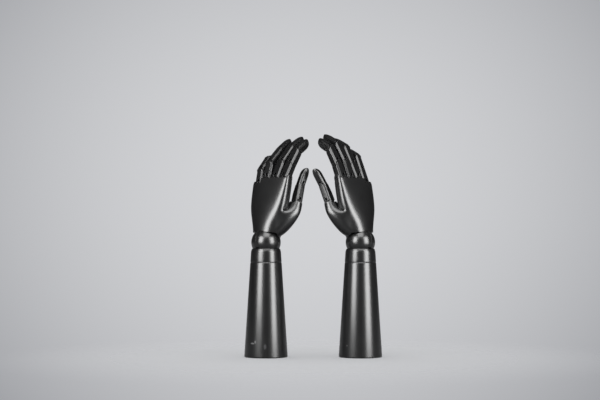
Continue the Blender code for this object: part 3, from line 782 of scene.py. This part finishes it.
def palm_rings():
    wide = PALM_HALF_WIDTH
    wrist = PALM_WRIST_HALF_WIDTH
    waist = wrist + (wide - wrist) * PALM_WAIST_SHARE
    deep = PALM_MIDDLE_THICKNESS
    top = FINGERS["index"]["thickness"] + 2 * PALM_KNUCKLE_MARGIN
    # height share, reach on the little-finger side and the thumb side, thickness, squareness
    levels = (
        (-0.10, wrist, wrist, PALM_WRIST_THICKNESS, 0.52),
        (0.09, wrist, wrist, PALM_WRIST_THICKNESS, 0.52),
        (0.28, waist, wrist, (PALM_WRIST_THICKNESS + PALM_LOWER_THICKNESS) / 2, 0.54),
        (0.48, wide * 0.98, wide * 0.92, PALM_LOWER_THICKNESS, 0.58),
        (0.68, wide * 1.02, wide * 0.98, deep, 0.66),
        (0.88, wide, wide, (deep + top) / 2, 0.76),
        (1.02, wide, wide, top, 0.84),
        (1.20, wide, wide, top, 0.84),
    )
    return [palm_ring(share * KNUCKLE_HEIGHT, *sizes) for share, *sizes in levels]


print("cage of", len(palm_rings()), "rings")


# %% The thumb's stump in the cage
def thumb_section(along, spread):
    """Four cage points round the thumb's stump: palm's back and front, then outer front and back."""
    half_width = spread * THUMB_WIDTH / 2
    half_thick = spread * THUMB_THICKNESS / 2
    pad = half_thick + MOUND_PAD_SWELL
    corners = [(-half_width, pad), (half_width, pad)]
    corners += [(half_width, -half_thick), (-half_width, -half_thick)]
    return [thumb_frame() @ Vector((x, y, along)) for x, y in corners]


# %% The cage, with the mound drawn out of its thumb side
def palm_cage():
    rings = palm_rings()
    cage = loft("palm", rings)
    shell = bmesh.new()
    shell.from_mesh(cage.data)
    corners = list(shell.verts)
    neck = thumb_section(*THUMB_NECK)
    head = thumb_section(*THUMB_HEAD)
    levels = []
    for ring, share in enumerate(MOUND_REACH, start=1):
        first = ring * len(rings[0])
        side = corners[first : first + 2]
        outer = []
        for start, goal in zip(rings[1][1::-1], neck[2:]):
            point = start.lerp(goal, share)
            point.z = side[0].co.z
            outer.append(shell.verts.new(point))
        levels.append(side + outer)
    low, middle, high = levels
    inside = [(low[0], low[1], middle[1], middle[0]), (middle[0], middle[1], high[1], high[0])]
    bmesh.ops.delete(shell, geom=[shell.faces.get(face) for face in inside], context="FACES_ONLY")
    levels += [[shell.verts.new(point) for point in section] for section in (neck, head)]
    for step, (below, above) in enumerate(zip(levels, levels[1:])):
        first_side = 1 if step < len(inside) else 0
        for start in range(first_side, len(below)):
            after = (start + 1) % len(below)
            shell.faces.new((below[start], below[after], above[after], above[start]))
    shell.faces.new(levels[0])
    shell.faces.new(levels[-1])
    bmesh.ops.recalc_face_normals(shell, faces=shell.faces)
    shell.to_mesh(cage.data)
    shell.free()
    return cage


# %% [markdown]
# The smooth form then gets its working cuts: a plain low edge, a hollow for the wrist ball, a round
# trough at each knuckle with a tongue standing in it, the thumb's seat, the wrist tongue and the
# bores for the rods. Each cutter is the matching move of the piece that works in it.

# %% Cutters for the palm
def barrel_outline(radius, palm_side, back, reach):
    """Side view of what is cut away above a round end on the inner piece, whose pin is at (0, 0)."""
    return [(y, -z) for y, z in knuckle_outline(radius, palm_side, back, reach)]


def trough(radius, low, high):
    """A round cutter along X that the outer piece's round end turns in."""
    outline = arc(0.0, radius + CLEARANCE, 0.0, 360.0, 2 * ROUND_STEPS, around=True)
    return prism("trough", outline[:-1], low, high)


def wrist_tongue_outline():
    """Side view of the palm's tongue: a stem, a disc flush with the ball, and a hub at the pin."""
    rim = math.sqrt(BALL_RADIUS**2 - (WRIST_TONGUE_THICKNESS / 2) ** 2) - WRIST_TONGUE_SINK
    top = BALL_RADIUS + PALM_LOW_EDGE
    neck = math.degrees(math.acos(WRIST_TONGUE_STEM / rim))
    drop = WRIST_TONGUE_DROP
    outline = [(-WRIST_TONGUE_STEM, top), (WRIST_TONGUE_STEM, top)]
    outline += arc(0.0, rim, neck, -drop, BALL_STEPS)
    outline += arc(0.0, WRIST_HUB_RADIUS, -drop, drop - 180.0, ROUND_STEPS)
    outline += arc(0.0, rim, 180.0 + drop, 180.0 - neck, BALL_STEPS)
    return outline


def knuckle_rod_span():
    """Ends along X of the rod that the index, middle and ring fingers share."""
    low = finger_places()["ring"] - FINGERS["ring"]["width"] / 2 + PIN_RECESS
    return low, PALM_HALF_WIDTH - PALM_SIDE_MARGIN / 2


def little_rod_span():
    """Ends of the little finger's rod along its own X, from the palm's cheek inwards."""
    half_width = FINGERS["little"]["width"] / 2
    return -half_width - PALM_SIDE_MARGIN / 2, half_width - PIN_RECESS


print("shared rod from and to", [round(end, 4) for end in knuckle_rod_span()])


# %% Cut the knuckles
def cut_knuckles(palm):
    places = finger_places()
    split = places["ring"] - FINGERS["ring"]["width"] / 2 - FINGER_GAP / 2
    for finger in ("index", "little"):
        frame_at = knuckle_frame(finger)
        half_width = FINGERS[finger]["width"] / 2
        radius = barrel_radius(FINGERS[finger]["thickness"] / 2)
        outline = barrel_outline(radius, *FINGER_OPENINGS, PALM_MIDDLE_THICKNESS)
        cutter = place(prism("knuckles", outline, -FAR, FAR), frame_at)
        sides = ((split, -FAR, -FAR), (FAR, FAR, 2 * FAR))
        side_room = FINGER_GAP / 2 + radius * math.tan(math.radians(abs(FINGERS[finger]["lean"])))
        low, high = split - places[finger], half_width + side_room
        if finger == "little":
            sides = ((-FAR, -FAR, -FAR), (split, FAR, 2 * FAR))
            low, high = -half_width - FINGER_GAP / 2, half_width + FINGER_GAP / 2
        carve(cutter, block("side", *sides), "INTERSECT")
        carve(palm, cutter)
        carve(palm, place(trough(radius, low, high), frame_at))
    for finger, sizes in FINGERS.items():
        half = sizes["thickness"] / 2
        carve(palm, place(tongue("tongue", half, barrel_radius(half)), knuckle_frame(finger)), "UNION")


# %% Cut the thumb's seat
def cut_thumb_seat(palm):
    thumb = thumb_frame()
    half = THUMB_THICKNESS / 2
    radius = barrel_radius(half)
    outline = barrel_outline(radius, *THUMB_OPENINGS, THUMB_CUT_REACH * THUMB_THICKNESS)
    half_cut = THUMB_CUT_HALF_WIDTH * THUMB_WIDTH
    carve(palm, place(prism("thumb_end", outline, -half_cut, half_cut), thumb))
    carve(palm, place(trough(radius, -half_cut, half_cut), thumb))
    carve(palm, place(tongue("tongue", half, radius), thumb), "UNION")
    carve(palm, place(rod("hole", PIN_RADIUS + CLEARANCE, -THUMB_WIDTH, THUMB_WIDTH), thumb))


# %% Cut the low edge, level at the back and lower at the heel below the thumb
def cut_low_edge(palm):
    heel_drop = (FAR - PALM_HEEL_START) * math.tan(math.radians(PALM_HEEL_SLOPE))
    outline = [(-FAR, -FAR), (FAR, -FAR), (FAR, PALM_LOW_EDGE - heel_drop)]
    outline += [(PALM_HEEL_START, PALM_LOW_EDGE), (-FAR, PALM_LOW_EDGE)]
    heel_turn = spin(PALM_HEEL_DIRECTION - 90.0, "Z")
    palm.modifiers.new("triangles", "TRIANGULATE")
    apply_modifiers(palm)
    carve(palm, place(prism("low_edge", outline, -FAR, FAR), heel_turn), folded=True)


# %% [markdown]
# Where the mound parts from the palm, the cage leaves a small knot that would catch the light. It is
# rubbed down like a knot in wood: a Smooth modifier, held to the spot by a group of points that fades
# out round it.

# %% Rub down the root of the mound
MOUND_ROOT = Vector((0.0245, -0.0092, 0.0308))
MOUND_ROOT_SIZE = 0.0145
MOUND_RUBS = 60


def settle_mound(palm):
    root = palm.vertex_groups.new(name="mound_root")
    for vertex in palm.data.vertices:
        nearness = 2.0 * (1.0 - (vertex.co - MOUND_ROOT).length / MOUND_ROOT_SIZE)
        if nearness > 0.0:
            root.add([vertex.index], min(nearness, 1.0), "REPLACE")
    rub = palm.modifiers.new("rub", "SMOOTH")
    rub.vertex_group = root.name
    rub.iterations = MOUND_RUBS
    apply_modifiers(palm)


# %% The finished palm
def make_palm():
    palm = palm_cage()
    smooth = palm.modifiers.new("smooth", "SUBSURF")
    smooth.levels = PALM_SMOOTHING
    smooth.render_levels = PALM_SMOOTHING
    apply_modifiers(palm)
    cut_low_edge(palm)
    settle_mound(palm)
    hollow = arc(0.0, BALL_RADIUS + CLEARANCE, 90.0, -90.0, BALL_STEPS)
    carve(palm, turned("hollow", hollow, LATHE_SIDES))
    cut_knuckles(palm)
    cut_thumb_seat(palm)
    half = WRIST_TONGUE_THICKNESS / 2
    carve(palm, prism("tongue", wrist_tongue_outline(), -half, half), "UNION")
    carve(palm, rod("hole", WRIST_PIN_RADIUS + CLEARANCE, -BALL_RADIUS, BALL_RADIUS))
    hole = PIN_RADIUS + CLEARANCE
    long_bore = rod("bore", hole, knuckle_rod_span()[0] - CLEARANCE, FAR)
    carve(palm, place(long_bore, up(KNUCKLE_HEIGHT)))
    short_bore = rod("bore", hole, -FAR, little_rod_span()[1] + CLEARANCE)
    carve(palm, place(short_bore, knuckle_frame("little")))
    return palm


sources["palm"] = make_palm()
print("palm", len(sources["palm"].data.polygons), "faces")

# %% [markdown]
# ## Pins and rods
# Every hinge turns on a straight steel pin, and three fingers share one long rod through the palm.
# A cut pin has its ends dressed on a wheel, so each is a skin over four rings, with a small chamfer
# at both ends where a plain cylinder would be sharp.

# %% Pins
PIN_CHAMFER = 0.0003


def make_pin(name, radius, low, high):
    ends = [(radius - PIN_CHAMFER, low), (radius, low + PIN_CHAMFER)]
    ends += [(radius, high - PIN_CHAMFER), (radius - PIN_CHAMFER, high)]
    return loft(name, [[(x, y, z) for y, z in pin_circle(size)] for size, x in ends])


pins = {"knuckle_rod": knuckle_rod_span(), "little_knuckle_rod": little_rod_span()}
widths = {"thumb_lower": THUMB_WIDTH, "thumb_tip": THUMB_WIDTH * TAPER}
for finger, sizes in FINGERS.items():
    widths[f"{finger}_mid"] = sizes["width"] * TAPER
    widths[f"{finger}_tip"] = sizes["width"] * TAPER**2
for name, width in widths.items():
    pins[f"{name}_pin"] = (PIN_RECESS - width / 2, width / 2 - PIN_RECESS)
for name, (low, high) in pins.items():
    sources[name] = make_pin(name, PIN_RADIUS, low, high)
wrist_reach = BALL_RADIUS - WRIST_PIN_RECESS
sources["wrist_pin"] = make_pin("wrist_pin", WRIST_PIN_RADIUS, -wrist_reach, wrist_reach)
print("pins and rods:", len(pins) + 1)

# %% [markdown]
# ## The pose
# Each piece is placed in the frame of the piece it hangs on, as in a skeleton: ball on forearm, palm
# on ball, fingers on palm. The two hands have the same skeleton and different bends. The right one
# is the left one's mirror image: its meshes are mirrored, and so is every turn of its skeleton.

# %% Bends of the two hands, in degrees
PAIR_SPACING = 0.1605
WRIST_BEND = 10.0
POSES = {
    "left": {
        "turn": 38.0,
        "index": (20.0, 4.0, 22.0),
        "middle": (18.0, 16.0, 16.0),
        "ring": (8.0, 32.0, 8.0),
        "little": (7.0, 30.0, 36.0),
        "thumb": (4.0, -14.0),
    },
    "right": {
        "turn": 41.0,
        "index": (12.0, 8.0, 30.0),
        "middle": (11.0, 12.0, 32.0),
        "ring": (20.0, 2.0, 34.0),
        "little": (18.0, 1.0, 36.0),
        "thumb": (-11.0, -15.0),
    },
}


# %% The skeleton
def bend(degrees):
    return spin(-degrees, "X")


def skeleton(pose):
    """The place of each piece of a left hand that stands on the origin."""
    at = {"forearm": Matrix.Identity(4)}
    at["wrist_ball"] = up(BALL_HEIGHT) @ spin(-pose["turn"], "Z")
    at["wrist_pin"] = at["wrist_ball"]
    at["palm"] = at["wrist_ball"] @ bend(WRIST_BEND)
    at["knuckle_rod"] = at["palm"] @ up(KNUCKLE_HEIGHT)
    at["little_knuckle_rod"] = at["palm"] @ knuckle_frame("little")
    for finger, sizes in FINGERS.items():
        first, second, third = pose[finger]
        lower, mid, _ = sizes["lengths"]
        at[f"{finger}_lower"] = at["palm"] @ knuckle_frame(finger) @ bend(first)
        at[f"{finger}_mid"] = at[f"{finger}_lower"] @ spin(own_lean(finger), "Y") @ up(lower) @ bend(second)
        at[f"{finger}_tip"] = at[f"{finger}_mid"] @ up(mid) @ bend(third)
    first, second = pose["thumb"]
    at["thumb_lower"] = at["palm"] @ thumb_frame() @ bend(first)
    at["thumb_tip"] = at["thumb_lower"] @ up(THUMB_LENGTHS[0]) @ bend(second)
    for name in widths:
        at[f"{name}_pin"] = at[name]
    return at


print("skeleton of", len(skeleton(POSES["left"])), "pieces")

# %% [markdown]
# ## Tidy the cut meshes
# A Boolean leaves many-sided faces behind, some with three corners in one straight line. Split
# carelessly, such a face gives slivers without any area. So edges of no length are dissolved first,
# and then every large face is split into well-shaped triangles.

# %% Dissolve slivers and split large faces
SLIVER = 1e-6


def tidy_mesh(source):
    form = bmesh.new()
    form.from_mesh(source.data)
    bmesh.ops.dissolve_degenerate(form, dist=SLIVER, edges=form.edges)
    large = [face for face in form.faces if len(face.verts) > 4]
    bmesh.ops.triangulate(form, faces=large)
    form.to_mesh(source.data)
    form.free()
    return len(large)


print("large faces split:", sum(tidy_mesh(source) for source in sources.values()))

# %% [markdown]
# ## Dress the frame
# Each finished piece takes the place of the solid of the same name and rides on that solid's body,
# so it moves with the joint. Its place goes into its points, as it does in the solid model, and its
# own coordinates are stored first for the grain. Faces are shaded smooth except across real edges.

# %% Stand both hands
SHARP_ANGLE = math.radians(35.0)
FLIP = Matrix.Scale(-1.0, 4, (1.0, 0.0, 0.0))


def finished_mesh(source, name, mirror, matrix):
    mesh = source.data.copy()
    mesh.name = name
    if mirror:
        mesh.transform(FLIP)
        mesh.flip_normals()
    own_place = mesh.attributes.new(OWN_PLACE, "FLOAT_VECTOR", "POINT")
    own_place.data.foreach_set("vector", [value for vertex in mesh.vertices for value in vertex.co])
    mesh.transform(matrix)
    mesh.shade_smooth()
    mesh.set_sharp_from_angle(angle=SHARP_ANGLE)
    return mesh


def dress(side, name, matrix):
    node = f"{side}_{name}"
    mirror = side == "right"
    if mirror:
        matrix = Matrix.Translation((PAIR_SPACING, 0.0, 0.0)) @ FLIP @ matrix @ FLIP
    mesh = finished_mesh(sources[name], f"{node}_finished", mirror, matrix)
    is_steel = name.endswith(("_pin", "_rod"))
    wood = forearm_lacquer[side] if name == "forearm" else plain_lacquer
    mesh.materials.clear()
    mesh.materials.append(steel if is_steel else wood)
    piece = add_object(f"{node}_finished", mesh)
    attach(piece, frame["nodes"][node]["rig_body"])
    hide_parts(node)
    return piece


dressed = []
for side, pose in POSES.items():
    dressed += [dress(side, name, matrix) for name, matrix in skeleton(pose).items()]
for source in sources.values():
    bpy.data.objects.remove(source)
print("dressed", len(dressed), "of", len(frame["nodes"]), "solids")

# %% [markdown]
# ## Floor and studio
# The hands stand on a pale, seamless sweep. Near the feet the floor is matt paper, so it takes a soft
# shadow. Further out it fades to clear, so that the eye looks through to the backdrop behind it and
# no horizon shows, as on a paper sweep that curves up into its own wall. The lacquer mirrors only a
# part of the paper, because in a real studio most of the ground around the set is dark.

# %% Floor
FLOOR_PAPER = (0.650, 0.656, 0.672, 1.0)
FLOOR_PAPER_WORN = (0.622, 0.628, 0.643, 1.0)
PAIR_MIDDLE = (PAIR_SPACING / 2, 0.0, 0.0)
FIBRE_FINENESS = 60.0
FLOOR_SIZE = 12.0
FLOOR_FADE = (0.16, 0.60)
FLOOR_VEIL = 0.45
FLOOR_DIM = 0.6


def make_floor():
    reach = FLOOR_SIZE / 2
    corners = [(x * reach, y * reach, 0.0) for x, y in ((-1, -1), (1, -1), (1, 1), (-1, 1))]
    floor = mesh_object("floor", corners, [(0, 1, 2, 3)])
    material, graph = new_material("paper_sweep")
    spot = graph.node("ShaderNodeTexCoord", output="Object")
    fibre = graph.noise(spot, FIBRE_FINENESS, 5.0)
    far = graph.step(graph.measure("DISTANCE", spot, PAIR_MIDDLE), *FLOOR_FADE)
    paper = graph.blend(fibre, FLOOR_PAPER, FLOOR_PAPER_WORN)
    finish = {"Base Color": paper, "Roughness": 1.0, "Specular IOR Level": 0.0}
    matt = graph.node("ShaderNodeBsdfPrincipled", None, finish)
    clear = graph.node("ShaderNodeBsdfTransparent")
    seen = graph.node("ShaderNodeLightPath", output="Is Camera Ray")
    mirrored = graph.node("ShaderNodeLightPath", output="Is Glossy Ray")
    veil = seen * (FLOOR_VEIL + (1 - FLOOR_VEIL) * far) + mirrored * FLOOR_DIM
    graph.surface("ShaderNodeMixShader", {0: veil, 1: matt, 2: clear})
    floor.data.materials.append(material)
    return floor


floor = make_floor()
print("floor", FLOOR_SIZE, "metres square")

# %% [markdown]
# Black lacquer is seen by what it mirrors. The room that it mirrors is dark, a little less so behind
# the hands, so the silhouettes stay clear and the fronts stay black. The backdrop carries a painted
# pool of light: it is brightest behind the hands and falls off towards its edges. What the camera
# sees, what the lacquer mirrors and what lights the matt paper can differ, because the Light Path
# node tells the rays apart.

# %% Backdrop and room
ROOM_FILL = (0.95, 0.95, 0.95, 1.0)
ROOM_BEHIND = (0.05, 0.05, 0.051, 1.0)
ROOM_FRONT = (0.012, 0.012, 0.012, 1.0)
BACKDROP = (0.648, 0.654, 0.672, 1.0)
BACKDROP_EDGE = (0.318, 0.325, 0.346, 1.0)
BACKDROP_MIDDLE = (0.0, 1.0, 0.045)
BACKDROP_SPREAD = (3.60, 0.0, 4.30)
FRONT_TO_BACK = (-0.2, 0.35)

world = bpy.data.worlds.new("studio")
bpy.context.scene.world = world
world.use_nodes = True
room = Graph(world.node_tree)
direction = room.node("ShaderNodeTexCoord", output="Generated")
depth = room.node("ShaderNodeSeparateXYZ", None, {0: direction}, "Y")
offset = (direction - BACKDROP_MIDDLE) * BACKDROP_SPREAD
# Painted light: the backdrop's fall from its bright middle to darker edges is a painted pool of light.
painted_light_falloff = room.measure("DOT_PRODUCT", offset, offset)
seen = room.node("ShaderNodeLightPath", output="Is Camera Ray")
mirrored = room.node("ShaderNodeLightPath", output="Is Glossy Ray")
backdrop = room.blend(painted_light_falloff, BACKDROP, BACKDROP_EDGE)
surroundings = room.blend(room.step(depth, *FRONT_TO_BACK), ROOM_FRONT, ROOM_BEHIND)
tone = room.blend(mirrored, ROOM_FILL, surroundings)
tone = room.blend(seen, tone, backdrop)
shade = room.node("ShaderNodeBackground", None, {"Color": tone})
room.node("ShaderNodeOutputWorld", None, {"Surface": shade})
print("room", len(world.node_tree.nodes), "nodes")

# %% [markdown]
# Two tall softboxes stand in front of the hands, one on each side. On a turned cone each of them
# becomes a long upright streak, and on the ball a short one, which is what tells the eye that the
# surface is smooth and round. A third hangs above and draws a bright line along the finger edges.
# They light only what shines; the matt paper has its even light from the room.

# %% Softboxes
SOFTBOX_TARGET = Vector((PAIR_SPACING / 2, 0.0, 0.19))
SOFTBOX_DISTANCE = 1.3


def softbox(name, azimuth, elevation, width, height, watts):
    """A tall rectangle of light that faces the hands; azimuth is from the camera, to the right."""
    turn, rise = math.radians(azimuth), math.radians(elevation)
    toward = Vector((math.sin(turn) * math.cos(rise), -math.cos(turn) * math.cos(rise), math.sin(rise)))
    lamp = bpy.data.lights.new(name, "AREA")
    lamp.shape = "RECTANGLE"
    lamp.size = width
    lamp.size_y = height
    lamp.energy = watts
    holder = add_object(name, lamp)
    holder.location = SOFTBOX_TARGET + toward * SOFTBOX_DISTANCE
    holder.rotation_euler = (-toward).to_track_quat("-Z", "Y").to_euler()
    holder.visible_diffuse = False
    return holder


softboxes = [
    softbox("left_softbox", -43.0, 20.0, 0.68, 1.0, 25.0),
    softbox("right_softbox", 48.0, 15.0, 0.68, 1.1, 26.0),
    softbox("top_softbox", 4.0, 63.0, 0.90, 0.95, 14.0),
]
print("softboxes:", [holder.name for holder in softboxes])

# %% [markdown]
# ## Camera
# A long lens from two and a half metres sees the pair without steep perspective. The lens is shifted
# up rather than tilted, so that upright edges stay upright.

# %% Camera
CAMERA_PLACE = (0.0578, -2.5704, 0.18445)
SENSOR_WIDTH = 36.0
LENS_LENGTH = 90.72
LENS_RISE = 48.5 / 600.0

camera_data = bpy.data.cameras.new("camera")
camera_data.sensor_width = SENSOR_WIDTH
camera_data.lens = LENS_LENGTH
camera_data.shift_y = LENS_RISE
camera = add_object("camera", camera_data)
camera.location = CAMERA_PLACE
camera.rotation_euler = (math.radians(90.0), 0.0, 0.0)
bpy.context.scene.camera = camera
bpy.context.scene.view_settings.view_transform = "Standard"
print("camera at", [round(v, 3) for v in camera.location])
